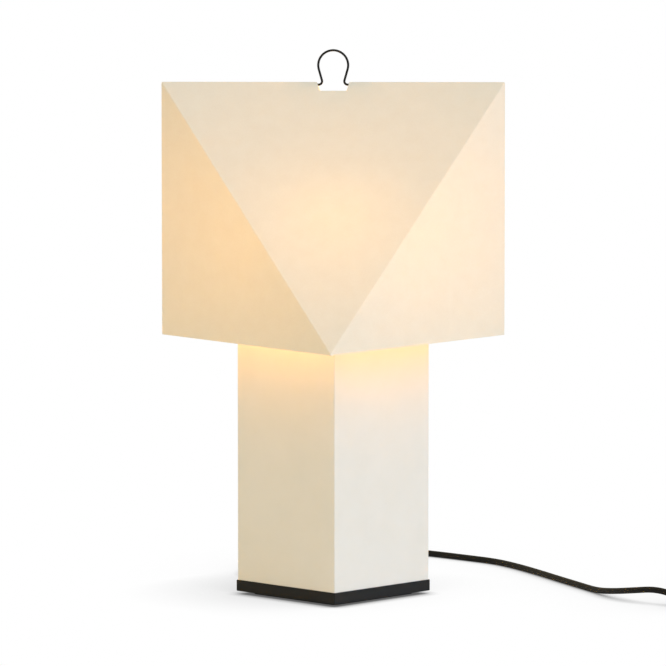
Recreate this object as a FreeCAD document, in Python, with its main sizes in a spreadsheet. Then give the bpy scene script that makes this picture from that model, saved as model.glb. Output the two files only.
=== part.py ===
import FreeCAD, Part
import math
import os
import re

import Sketcher

# Table lamp: a square column of folded sheet on a black base plate, under a folded
# paper shade that hangs by its ridge on a wire harp. Millimetres. The origin is on
# the table, in the middle of the foot pad, and +Z is up. The ridge runs along X, and
# a corner of the shade, the column and the plate points along -Y.

doc = FreeCAD.newDocument("TableLamp")
Vector = FreeCAD.Vector

sizes = {
    # paper shade
    "shadeHalf": (171.8, "axis to a lower corner"),
    "shadeTall": (253.2, "lower edge to the ridge"),
    "shadeDrop": (0.4, "lower edge below the top of the column"),
    "shadeTurn": (-1.6, "degrees that shade and harp are turned on the column"),
    "paperThick": (0.4, "folded paper"),
    "flapWide": (10, "glued flap at each side seam"),
    "notchTop": (16.4, "half the notch at the ridge"),
    "notchFoot": (13.4, "half the notch at its lower edge"),
    "notchDeep": (8.8, "notch below the ridge"),
    # wire harp
    "wireThick": (2, "wire"),
    "loopRadius": (14.9, "middle of the wire in the round loop"),
    "loopRise": (16.4, "middle of the loop above the ridge"),
    "loopLean": (15.8, "degrees that the sides of the neck lean inwards"),
    "neckRound": (3.4, "bend from the neck to the shoulder"),
    "shoulderRound": (8, "bend from the shoulder to the leg"),
    "ridgeGap": (0.3, "wire to paper, square to the paper"),
    "harpGap": (7, "wire to the widest part of the bulb"),
    "ferruleWide": (5, "tube that holds a leg of the harp"),
    "ferruleTall": (12, "tube that holds a leg of the harp"),
    "saddleWide": (14, "strip under the lampholder"),
    "saddleThick": (1.5, "strip under the lampholder"),
    "saddleTail": (5, "strip past the legs of the harp"),
    # column and base
    "columnSide": (135.6, "outside of the column"),
    "columnTall": (247.7, "column above the base plate"),
    "wall": (1.5, "folded sheet"),
    "foldRound": (1, "outside of a fold in the sheet"),
    "footLip": (20, "inward lip at the foot"),
    "topLip": (12, "inward lip at the top"),
    "capThick": (2, "plate under the top lip"),
    "plateShow": (1.05, "base plate past the column"),
    "plateThick": (11.2, "base plate"),
    "plateEdge": (0.6, "broken edge of the plate"),
    "padThick": (3.1, "foot pad"),
    "padRound": (4, "corners of the foot pad"),
    # fasteners
    "shank": (3.9, "screw"),
    "headWide": (7.6, "screw head"),
    "headTall": (2.4, "screw head"),
    "nutWide": (7, "nut on a base screw, across the flats"),
    "nutTall": (3.2, "nut on a base screw"),
    "slack": (0.15, "round a screw, pin or tube in its hole"),
    "fit": (0.3, "between pieces that are put together"),
    # lampholder
    "tubeWide": (10, "threaded tube"),
    "tubeBore": (7, "threaded tube"),
    "tubeNutWide": (14, "nut on the threaded tube, across the flats"),
    "tubeNutTall": (5, "nut on the threaded tube"),
    "washerThick": (0.8, "under that nut"),
    "holderWide": (39, "lampholder"),
    "holderWall": (2, "lampholder"),
    "domeTall": (21, "lower half of the lampholder"),
    "skirtTall": (33, "upper half of the lampholder"),
    "insertTall": (9, "ceramic insert"),
    "sleeveTall": (25, "metal thread for the bulb"),
    # bulb
    "bulbWide": (60, "globe"),
    "bulbTall": (106, "contact to the top of the globe"),
    "baseWide": (26.4, "screw base"),
    "baseTall": (24, "contact to the rim of the screw base"),
    "threadPitch": (3.6, "screw base"),
    "globeWall": (1.2, "opal globe"),
    # cord
    "cordThick": (6.2, "cord"),
    "cordSlack": (0.2, "cord in a bore"),
    "glandRise": (32, "cord's exit above the table"),
    "barrelWide": (12, "gland in the wall"),
    "bootLong": (20, "strain relief"),
    "leadRound": (40, "bend of the lead inside the column"),
    "coilX": (420, "middle of the coil"),
    "coilY": (-20, "middle of the coil"),
    "coilRadius": (40, "first half turn of the coil"),
    "turnGap": (0.6, "between turns of the coil"),
    "tieThick": (1, "strap round the coil"),
    "tieWide": (6, "strap round the coil"),
    # switch on the cord
    "switchX": (370.5, "middle of the switch"),
    "switchY": (-108, "middle of the switch"),
    "switchTurn": (-30, "degrees from X to the switch"),
    "switchLong": (60, "housing"),
    "switchWide": (28, "housing"),
    "switchTall": (22, "housing"),
    "switchWall": (2, "housing"),
    "switchRound": (7, "corners of the housing"),
    "cordGrip": (6, "cord inside the end wall of the switch"),
    "rockerLong": (20, "rocker"),
    "rockerWide": (12, "rocker"),
    "rockerTilt": (7, "degrees each way"),
    "rockerGap": (1.2, "rocker to the end of its window"),
    "pivotRise": (15, "pins of the rocker above the table"),
    "pivotThick": (3, "pins of the rocker"),
    "postThick": (2, "post that holds a pin of the rocker"),
    "bossWide": (6.4, "post that takes a screw"),
    # plug
    "plugWide": (35, "body"),
    "plugThick": (13.7, "body"),
    "plugLong": (34, "body"),
    "plugAway": (118, "face of the plug past the middle of the coil"),
    "sleeveLong": (18, "strain relief of the plug"),
    "plugGrip": (12, "cord inside the plug"),
    "pinThick": (4, "contact pin"),
    "pinLong": (19, "contact pin outside the body"),
    "pinRoot": (6, "contact pin inside the body"),
    "pinApart": (19, "between the middles of the pins"),
}

# Heights and places that follow from the sizes.
worked = {
    "plateSide": "columnSide + 2 * plateShow",
    "plateTop": "padThick + plateThick",
    "columnTop": "plateTop + columnTall",
    "innerSide": "columnSide - 2 * wall",
    "capTop": "columnTop - wall",
    "capFoot": "capTop - capThick",
    "footScrew": "innerSide / 2 - footLip + nutWide / sqrt(3) + fit",
    "padSide": "2 * footScrew + headWide + 5",
    "topScrew": "innerSide / 2 - topLip / 2",
    "stemWide": "shank / 2 + slack",
    "shadeFoot": "columnTop - shadeDrop",
    "ridge": "shadeFoot + shadeTall",
    "paperSlope": "sqrt(shadeHalf ^ 2 + shadeTall ^ 2) / shadeHalf",
    "innerTall": "shadeTall - paperThick * paperSlope",
    "innerHalf": "shadeHalf - paperThick * sqrt(2)",
    "shoulder": "shadeFoot + innerTall - (wireThick / 2 + ridgeGap) * paperSlope",
    "legHalf": "bulbWide / 2 + harpGap + wireThick / 2",
    "holderFoot": "capTop + saddleThick",
    "skirtFoot": "holderFoot + domeTall",
    "insertFoot": "skirtFoot - insertTall",
    "holderIn": "holderWide / 2 - holderWall",
    "sleeveIn": "baseWide / 2 + fit",
    "tubeHole": "tubeWide / 2 + slack",
    "bulbFoot": "skirtFoot + 3",
    "leadTop": "holderFoot + 6",
    "cordHole": "cordThick / 2 + cordSlack",
    "turnStep": "cordThick + turnGap",
    "coilLow": "cordThick / 2 + tieThick + 2 * slack",
    "switchHalf": "switchTall / 2",
    "cavityHalf": "switchLong / 2 - cordGrip",
    "pinOut": "rockerWide / 2 + fit + postThick",
    "bossX": "cavityHalf - bossWide / 2 + slack * 4",
    "bossY": "switchWide / 2 - switchWall - bossWide / 2 + slack * 4",
    "plugEnd": "plugLong + sleeveLong",
}

sheet = doc.addObject("Spreadsheet::Sheet", "Sizes")
for row, (name, (value, note)) in enumerate(sizes.items(), start=1):
    sheet.set(f"A{row}", name)
    sheet.set(f"B{row}", str(value))
    sheet.set(f"C{row}", note)
    sheet.setAlias(f"B{row}", name)
doc.recompute()


def tied(text):
    """The text as an expression on the sheet, with the worked values written out."""

    def swap(match):
        word = match.group()
        if word in worked:
            return f"({tied(worked[word])})"
        return f"Sizes.{word}" if word in sizes else word

    return re.sub(r"[A-Za-z]\w*", swap, str(text))


def number(text):
    return float(sheet.evalExpression(tied(text)))


def bind(thing, **ties):
    for key, text in ties.items():
        thing.setExpression(key.replace("_", "."), tied(text))
    return thing


def put(thing, x=0, y=0, z=0, turn=None):
    """Places a thing; x, y and z are texts or numbers, and turn is a Rotation."""
    if turn:
        thing.Placement = FreeCAD.Placement(Vector(), turn)
    return bind(thing, Placement_Base_x=x, Placement_Base_y=y, Placement_Base_z=z)


xAxis, yAxis, zAxis = Vector(1, 0, 0), Vector(0, 1, 0), Vector(0, 0, 1)
cornerOn = FreeCAD.Rotation(zAxis, 45)  # puts a corner of a square to the front
alongX = FreeCAD.Rotation(zAxis, xAxis)
alongY = FreeCAD.Rotation(zAxis, yAxis)


# Simple solids, and what joins them.


def block(name, wide, deep, tall, x=0, y=0, z=0):
    """A box whose middle is at x, y and whose underside is at z."""
    thing = doc.addObject("Part::Box", name)
    bind(thing, Length=wide, Width=deep, Height=tall)
    return put(thing, f"{x} - ({wide}) / 2", f"{y} - ({deep}) / 2", z)


def rod(name, radius, tall, x=0, y=0, z=0, turn=None):
    thing = doc.addObject("Part::Cylinder", name)
    bind(thing, Radius=radius, Height=tall)
    return put(thing, x, y, z, turn)


def cone(name, radiusOne, radiusTwo, tall, x=0, y=0, z=0, turn=None):
    thing = doc.addObject("Part::Cone", name)
    bind(thing, Radius1=radiusOne, Radius2=radiusTwo, Height=tall)
    return put(thing, x, y, z, turn)


def hexagon(name, flats, tall, x=0, y=0, z=0):
    thing = doc.addObject("Part::Prism", name)
    thing.Polygon = 6
    bind(thing, Circumradius=f"({flats}) / sqrt(3)", Height=tall)
    return put(thing, x, y, z)


def wedge(name, **ties):
    """A block from X, Y and Z at Ymin to X2 and Z2 at Ymax."""
    return bind(doc.addObject("Part::Wedge", name), **ties)


def fuse(name, *things):
    thing = doc.addObject("Part::MultiFuse", name)
    thing.Shapes = list(things)
    return thing


def cut(name, base, *tools):
    thing = doc.addObject("Part::Cut", name)
    thing.Base = base
    thing.Tool = tools[0] if len(tools) == 1 else fuse(f"{name}Tools", *tools)
    return thing


def group(name, *things):
    thing = doc.addObject("Part::Compound", name)
    thing.Links = list(things)
    return thing


def corners(inset):
    """The four corners of a square, as pairs of texts."""
    return [(f"{i}({inset})", f"{j}({inset})") for i in ("", "-") for j in ("", "-")]


# Bodies made from sketches.


def outline(body, name, points, role="XY_Plane"):
    """A closed outline of straight lines; each corner is a pair of texts."""
    origin = next(f for f in body.Origin.OriginFeatures if f.Role == role)
    sketch = body.newObject("Sketcher::SketchObject", name)
    sketch.AttachmentSupport = [(origin, "")]
    sketch.MapMode = "FlatFace"
    spots = [Vector(number(x), number(y), 0) for x, y in points]
    for i, spot in enumerate(spots):
        sketch.addGeometry(Part.LineSegment(spots[i - 1], spot))
    for i, spot in enumerate(spots):
        after = (i + 1) % len(spots)
        sketch.addConstraint(Sketcher.Constraint("Coincident", i, 2, after, 1))
    for i, (spot, texts) in enumerate(zip(spots, points)):
        for kind, size, text in zip(("DistanceX", "DistanceY"), spot, texts):
            held = sketch.addConstraint(Sketcher.Constraint(kind, -1, 1, i, 2, size))
            sketch.setExpression(f"Constraints[{held}]", tied(text))
    return sketch


def rectangle(wide, deep):
    x, y = f"({wide}) / 2", f"({deep}) / 2"
    return [(f"-{x}", f"-{y}"), (x, f"-{y}"), (x, y), (f"-{x}", y)]


def newBody(name):
    return doc.addObject("PartDesign::Body", name)


def pad(body, name, points, tall, role="XY_Plane", both=False):
    """Draws the outline out by tall, or by half of it to each side."""
    feature = body.newObject("PartDesign::Pad", name)
    feature.Profile = outline(body, f"{name}Sketch", points, role)
    feature.Midplane = both
    bind(feature, Length=tall)
    doc.recompute()
    return feature


def pocket(body, name, points, deep, lift=0):
    """Cuts the outline upwards, from lift above the foot of the body."""
    sketch = outline(body, f"{name}Sketch", points)
    bind(sketch, AttachmentOffset_Base_z=lift)
    feature = body.newObject("PartDesign::Pocket", name)
    feature.Profile = sketch
    feature.Reversed = True
    bind(feature, Length=deep)
    doc.recompute()
    return feature


def dress(body, kind, name, base, wanted, **ties):
    """A Fillet or a Chamfer on the edges of a feature that are wanted."""
    feature = body.newObject(f"PartDesign::{kind}", name)
    edges = enumerate(base.Shape.Edges, start=1)
    feature.Base = (base, [f"Edge{i}" for i, edge in edges if wanted(edge.BoundBox)])
    bind(feature, **ties)
    doc.recompute()
    return feature


def isUpright(box):
    return box.ZLength > 0.5 and max(box.XLength, box.YLength) < 0.001


def isAlongX(box):
    return box.XLength > 0.5 and max(box.YLength, box.ZLength) < 0.001


def revolve(name, points):
    """A turned piece; each corner of its half section is (radius, height)."""
    body = newBody(name)
    sketch = outline(body, f"{name}Sketch", points, "XZ_Plane")
    feature = body.newObject("PartDesign::Revolution", f"{name}Turn")
    feature.Profile = sketch
    feature.ReferenceAxis = (sketch, ["V_Axis"])
    feature.Angle = 360
    return body


# Tubes: the cords and the wire.


def roundedPath(points, radii=None):
    """Straight runs joined by tangent arcs: the edges, and the radii of the arcs."""
    edges, used, at = [], [], points[0]
    for i in range(1, len(points) - 1):
        before, corner, after = points[i - 1 : i + 2]
        inward, outward = (corner - before).normalize(), (after - corner).normalize()
        half = inward.getAngle(outward) / 2
        shorter = min((corner - before).Length, (after - corner).Length)
        radius = radii[i - 1] if radii else 0.45 * shorter / math.tan(half)
        reach = radius * math.tan(half)
        start, end = corner - inward * reach, corner + outward * reach
        inside = (outward - inward).normalize()
        middle = corner + inside * (radius / math.cos(half) - radius)
        edges.append(Part.LineSegment(at, start).toShape())
        edges.append(Part.Arc(start, middle, end).toShape())
        used.append(radius)
        at = end
    edges.append(Part.LineSegment(at, points[-1]).toShape())
    return edges, used


def tube(name, edges, radius):
    """A tube on edges that run smoothly into each other."""
    first = edges[0]
    along = first.tangentAt(first.FirstParameter)
    circle = Part.makeCircle(radius, first.valueAt(first.FirstParameter), along)
    thing = doc.addObject("Part::Feature", name)
    thing.Shape = Part.Wire(edges).makePipeShell([Part.Wire([circle])], True, False)
    length = sum(edge.Length for edge in edges)
    share = thing.Shape.Volume / (math.pi * radius**2 * length)
    print(f"{name}: {length:.1f} mm, volume {share:.4f} of section times length")
    return thing


def cord(name, points):
    """A cord on a route of hand-picked points."""
    edges, radii = roundedPath(points)
    print(f"{name} bends:", ", ".join(f"{radius:.0f}" for radius in radii))
    return tube(name, edges, number("cordThick / 2"))


pieces = []


def piece(label, thing):
    """A finished sub-part; its label names its node and its file."""
    thing.Label = label
    pieces.append(thing)
    return thing


def turned(label, points, foot):
    """A turned sub-part whose heights are measured from foot."""
    return put(piece(label, revolve(label.title().replace("_", ""), points)), z=foot)


# Base: a soft pad under a heavy plate, screwed to the foot of the column.


def makeBase():
    body = newBody("Pad")
    feature = pad(body, "PadBlock", rectangle("padSide", "padSide"), "padThick")
    dress(body, "Fillet", "PadCorners", feature, isUpright, Radius="padRound")
    put(piece("foot_pad", body), turn=cornerOn)

    body = newBody("Plate")
    feature = pad(body, "PlateBlock", rectangle("plateSide", "plateSide"), "plateThick")
    dress(body, "Chamfer", "PlateEdges", feature, lambda box: True, Size="plateEdge")
    holes, screws, nuts = [], [], []
    for i, (x, y) in enumerate(corners("footScrew")):
        holes.append(rod(f"PlateHole{i}", "stemWide", "plateThick", x, y))
        wide = "headWide / 2 + slack"
        holes.append(cone(f"PlateSink{i}", wide, "stemWide", "headTall", x, y))
        head = cone(f"SunkHead{i}", "headWide / 2", "shank / 2", "headTall", x, y)
        stem = rod(f"SunkStem{i}", "shank / 2", "plateThick + wall + nutTall + 1", x, y)
        screws.append(fuse(f"SunkScrew{i}", head, stem))
        solid = hexagon(f"NutBlock{i}", "nutWide", "nutTall", x, y)
        nuts.append(cut(f"Nut{i}", solid, rod(f"NutHole{i}", "stemWide", "nutTall", x, y)))
    plate = cut("BasePlate", body, *holes)
    put(piece("base_plate", plate), z="padThick", turn=cornerOn)
    put(piece("base_screws", group("BaseScrews", *screws)), z="padThick", turn=cornerOn)
    put(piece("base_nuts", group("BaseNuts", *nuts)), z="plateTop + wall", turn=cornerOn)


# Column: folded sheet with a lip at each end, and a plate screwed under the top lip.


def makeColumn():
    body = newBody("Column")
    feature = pad(body, "ColumnBlock", rectangle("columnSide", "columnSide"), "columnTall")
    dress(body, "Fillet", "ColumnFolds", feature, isUpright, Radius="foldRound")
    inside = rectangle("innerSide", "innerSide")
    pocket(body, "ColumnInside", inside, "columnTall - 2 * wall", "wall")
    foot = rectangle("innerSide - 2 * footLip", "innerSide - 2 * footLip")
    pocket(body, "ColumnFoot", foot, "wall")
    mouth = rectangle("innerSide - 2 * topLip", "innerSide - 2 * topLip")
    pocket(body, "ColumnMouth", mouth, "wall", "columnTall - wall")
    start, rise = "columnSide / 2 - 1.5 * wall", "glandRise - plateTop"
    holes = [rod("GlandHole", "barrelWide / 2 + slack", "2 * wall", 0, start, rise, alongY)]
    for i, (x, y) in enumerate(corners("footScrew")):
        holes.append(rod(f"FootHole{i}", "stemWide", "wall", x, y))
    capHoles, screws = [rod("CapMiddle", "tubeHole", "capThick")], []
    for i, (x, y) in enumerate(corners("topScrew")):
        holes.append(rod(f"TopHole{i}", "stemWide", "wall", x, y, "columnTall - wall"))
        capHoles.append(rod(f"CapHole{i}", "stemWide", "capThick", x, y))
        head = rod(f"PanHead{i}", "headWide / 2", "headTall", x, y, "columnTop")
        socket = hexagon(f"Socket{i}", "shank / 2", "headTall", x, y, "columnTop + headTall / 2")
        stem = rod(f"PanStem{i}", "shank / 2", "wall + capThick + 3", x, y, "capFoot - 3")
        screws.append(fuse(f"PanScrew{i}", cut(f"PanTop{i}", head, socket), stem))
    put(piece("column_shell", cut("ColumnShell", body, *holes)), z="plateTop", turn=cornerOn)

    body = newBody("Cap")
    pad(body, "CapBlock", rectangle("innerSide - 2 * fit", "innerSide - 2 * fit"), "capThick")
    put(piece("top_cap", cut("TopCap", body, *capHoles)), z="capFoot", turn=cornerOn)
    put(piece("cap_screws", group("CapScrews", *screws)), turn=cornerOn)


# Lampholder on its threaded tube.


def ring(inner, outer, tall):
    return [(inner, "0"), (outer, "0"), (outer, tall), (inner, tall)]


def makeLampholder():
    below = "washerThick + tubeNutTall + 2"
    tall = f"{below} + capThick + saddleThick + 8"
    turned("threaded_tube", ring("tubeBore / 2", "tubeWide / 2", tall), f"capFoot - ({below})")
    washer = ring("tubeHole", "tubeNutWide / 2 + 2", "washerThick")
    turned("lock_washer", washer, "capFoot - washerThick")
    nut = hexagon("TubeNutBlock", "tubeNutWide", "tubeNutTall")
    nut = cut("TubeNut", nut, rod("TubeNutHole", "tubeHole", "tubeNutTall"))
    put(piece("tube_nut", nut), z="capFoot - washerThick - tubeNutTall")

    neck, ledge = "tubeWide / 2 + 3", "domeTall - insertTall"
    dome = [
        ("tubeHole", "0"),
        (neck, "0"),
        ("holderWide / 2", "8"),
        ("holderWide / 2", "domeTall"),
        ("holderIn", "domeTall"),
        ("holderIn", ledge),
        ("holderIn - 2.5", ledge),
        ("holderIn - 2.5", "8.5"),
        (f"{neck} + 2", "4"),
        (neck, "4"),
        (neck, "8"),
        ("tubeHole", "8"),
    ]
    turned("holder_dome", dome, "holderFoot")

    # The insert's flange lies on the dome's ledge, and the skirt's spigot holds it down.
    core, flange, spigot = "sleeveIn + 1.3", "2.7", "insertTall - 2.7 - fit"
    insert = [
        ("0", "0"),
        ("holderIn - slack", "0"),
        ("holderIn - slack", flange),
        (core, flange),
        (core, "insertTall"),
        ("0", "insertTall"),
    ]
    turned("holder_insert", insert, "insertFoot")
    skirt = [
        (f"{core} + slack", f"-({spigot})"),
        ("holderIn - slack", f"-({spigot})"),
        ("holderIn - slack", "0"),
        ("holderWide / 2", "0"),
        ("holderWide / 2", "skirtTall"),
        ("holderIn - fit", "skirtTall"),
        ("holderIn - fit", "2.5"),
        (f"{core} + slack", "2.5"),
    ]
    turned("holder_skirt", skirt, "skirtFoot")
    turned("holder_thread", ring("sleeveIn", "sleeveIn + 0.6", "sleeveTall"), "skirtFoot")
    tongue = [("0", "0"), ("6", "0"), ("6", "0.8"), ("4.5", "0.8"), ("4.5", "2.7"), ("0", "2.7")]
    turned("holder_contact", tongue, "skirtFoot")

    mid, rise = "(columnSide - wall) / 2 * sin(45)", number("glandRise")
    start = Vector(-number(mid), number(mid), rise)
    bend = [start, Vector(0, 0, rise), Vector(0, 0, number("leadTop"))]
    edges, _ = roundedPath(bend, [number("leadRound")])
    piece("inner_lead", tube("InnerLead", edges, number("cordThick / 2")))
    rise = "insertFoot - leadTop"
    cores = [rod(f"Core{i}", "0.9", rise, x, 0, "leadTop") for i, x in enumerate((-1.5, 1.5))]
    piece("lead_cores", group("LeadCores", *cores))


# Bulb: its heights are measured from its contact.


def makeBulb():
    waist, middle = "baseWide / 2", "bulbTall - bulbWide / 2"
    rim, mouth = f"{middle} - bulbWide / 4", "bulbWide / 4 * sqrt(3)"
    turned("bulb_contact", [("0", "0"), ("3.5", "0"), ("4.5", "2"), ("0", "2")], "bulbFoot")
    glass = [("0", "2"), ("4.5", "2"), (f"{waist} - 2", "5"), ("0", "5")]
    turned("bulb_insulator", glass, "bulbFoot")
    thread = []
    for i in range(4):
        low = f"6 + {i} * threadPitch"
        thread.append((f"{waist} - 0.9", low))
        thread.append((waist, f"{low} + threadPitch / 2"))
    top = [(f"{waist} - 0.9", "6 + 4 * threadPitch"), (waist, "baseTall - 1"), (waist, "baseTall")]
    base = [("0", "5"), (f"{waist} - 2", "5"), *thread, *top, ("0", "baseTall")]
    turned("bulb_screw_base", base, "bulbFoot")
    housing = [
        ("0", "baseTall"),
        (f"{waist} + 0.4", "baseTall"),
        (f"{waist} + 1.8", "baseTall + 4"),
        (mouth, rim),
        ("0", rim),
    ]
    turned("bulb_housing", housing, "bulbFoot")
    turned("led_board", ring("3", "21", "1.6"), f"bulbFoot + {rim}")
    balls = []
    for name, radius in (("GlobeOut", "bulbWide / 2"), ("GlobeIn", "bulbWide / 2 - globeWall")):
        ball = bind(doc.addObject("Part::Sphere", name), Radius=radius)
        balls.append(put(ball, z=middle))
    below = block("GlobeBelow", "2 * bulbWide", "2 * bulbWide", "bulbWide", z=f"{rim} - bulbWide")
    put(piece("bulb_globe", cut("Globe", balls[0], balls[1], below)), z="bulbFoot")


# Wire harp: a leg on each side, a shoulder under each half of the ridge, and a round
# loop that stands up through the notch.


def makeHarp():
    turn = FreeCAD.Rotation(zAxis, number("shadeTurn"))
    body = newBody("Saddle")
    strip = rectangle("2 * (legHalf + saddleTail)", "saddleWide")
    pad(body, "SaddleStrip", strip, "saddleThick")
    saddle = cut("HarpSaddle", body, rod("SaddleHole", "tubeHole", "saddleThick"))
    put(piece("harp_saddle", saddle), z="capTop", turn=turn)

    ferrules = []
    for i, x in enumerate(("legHalf", "-legHalf")):
        solid = rod(f"FerruleRod{i}", "ferruleWide / 2", "ferruleTall", x)
        bore = rod(f"FerruleBore{i}", "wireThick / 2 + slack", "ferruleTall", x)
        ferrules.append(cut(f"Ferrule{i}", solid, bore))
    put(piece("harp_ferrules", group("HarpFerrules", *ferrules)), z="holderFoot", turn=turn)

    lean, radius = math.radians(number("loopLean")), number("loopRadius")
    shoulder, leg = number("shoulder"), number("legHalf")
    middle = Vector(0, 0, number("ridge + loopRise"))
    leaves = middle + Vector(radius * math.cos(lean), 0, -radius * math.sin(lean))
    neck = leaves.x - (leaves.z - shoulder) * math.tan(lean)
    foot = Vector(leg, 0, number("holderFoot + fit"))
    right = [leaves, Vector(neck, 0, shoulder), Vector(leg, 0, shoulder), foot]
    bends = [number("neckRound"), number("shoulderRound")]
    left = [Vector(-spot.x, 0, spot.z) for spot in right]
    up, _ = roundedPath(left[::-1], bends[::-1])
    down, _ = roundedPath(right, bends)
    loop = Part.Arc(left[0], middle + Vector(0, 0, radius), right[0]).toShape()
    wire = tube("HarpWire", [*up, loop, *down], number("wireThick / 2"))
    wire.Placement = FreeCAD.Placement(Vector(), turn)
    piece("harp_wire", wire)


# Paper shade: one folded sheet. Each half has a wide facet that slopes from the ridge
# to the middle corner, and an upright triangle on each side of it.


def tent(name, half, tall, foot, lip, turn):
    """A solid half of the shade: it ends in a point, or in an edge up to lip."""
    thing = wedge(name, Xmin=f"-({half})", Xmax=half, Ymin=0, Ymax=half, Zmin=foot, Zmax=tall)
    bind(thing, X2min=0, X2max=0, Z2min=foot, Z2max=lip)
    return put(thing, turn=turn)


def makeFlap(name, sign):
    """The strip of the front wall that is folded round the corner and glued on."""
    along = Vector(-sign, 1, 0)
    low, high = ("-paperThick", "0") if sign > 0 else ("0", "paperThick")
    thing = wedge(name, Xmin=0, Xmax="flapWide", Ymin=0, Ymax="shadeTall - 2.5 * flapWide")
    bind(thing, X2min=0, X2max="flapWide * 0.7", Zmin=low, Zmax=high, Z2min=low, Z2max=high)
    turn = FreeCAD.Rotation(along, zAxis, along.cross(zAxis), "XYZ")
    return put(thing, f"{sign} * innerHalf", 0, "flapWide / 5", turn)


def makeShade():
    lip = "paperThick * sqrt(2) * shadeTall / shadeHalf - paperThick * paperSlope"
    parts = [makeFlap("LeftFlap", -1), makeFlap("RightFlap", 1)]
    for side, angle in (("Back", 0), ("Front", 180)):
        turn = FreeCAD.Rotation(zAxis, angle)
        outside = tent(f"{side}Outside", "shadeHalf", "shadeTall", 0, 0, turn)
        inside = tent(f"{side}Inside", "innerHalf", "innerTall", -5, f"{lip}", turn)
        parts.append(cut(f"{side}Half", outside, inside))
    notch = wedge("Notch", Xmin="-notchFoot", Xmax="notchFoot", Ymin=0, Ymax="notchDeep")
    bind(notch, X2min="-notchTop", X2max="notchTop", Zmin=-20, Zmax=20, Z2min=-20, Z2max=20)
    put(notch, z="shadeTall - notchDeep", turn=FreeCAD.Rotation(xAxis, 90))
    shade = cut("PaperShade", fuse("Paper", *parts), notch)
    put(piece("paper_shade", shade), z="shadeFoot", turn=FreeCAD.Rotation(zAxis, number("shadeTurn")))


# Gland: its own axis points out of the back of the column.


def makeGland():
    barrel, inside = "barrelWide / 2", "wall + tubeNutTall + 4"
    profile = [
        ("cordHole", f"-({inside})"),
        (barrel, f"-({inside})"),
        (barrel, "0"),
        (f"{barrel} + 3", "0"),
        (f"{barrel} + 3", "1.6"),
        (f"{barrel} + 1.8", "2.5"),
        (barrel, "2.5"),
        ("cordHole + 0.9", "2.5 + bootLong"),
        ("cordHole", "2.5 + bootLong"),
    ]
    away, turn = "columnSide / 2 * sin(45)", FreeCAD.Rotation(zAxis, Vector(-1, 1, 0))
    put(piece("cord_gland", revolve("CordGland", profile)), f"-{away}", away, "glandRise", turn)
    foot = "-(wall + tubeNutTall)"
    nut = hexagon("GlandNutBlock", "barrelWide + 5", "tubeNutTall", z=foot)
    hole = rod("GlandNutHole", f"{barrel} + slack", "tubeNutTall", z=foot)
    put(piece("gland_nut", cut("GlandNut", nut, hole)), f"-{away}", away, "glandRise", turn)


# Switch: it lies on the table, in its own axes until it is placed.


def switchPiece(label, thing):
    turn = FreeCAD.Rotation(zAxis, number("switchTurn"))
    return put(piece(label, thing), "switchX", "switchY", 0, turn)


def shell(name, tall):
    body = newBody(name)
    feature = pad(body, f"{name}Block", rectangle("switchLong", "switchWide"), tall)
    dress(body, "Fillet", f"{name}Corners", feature, isUpright, Radius="switchRound")
    return body


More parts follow.
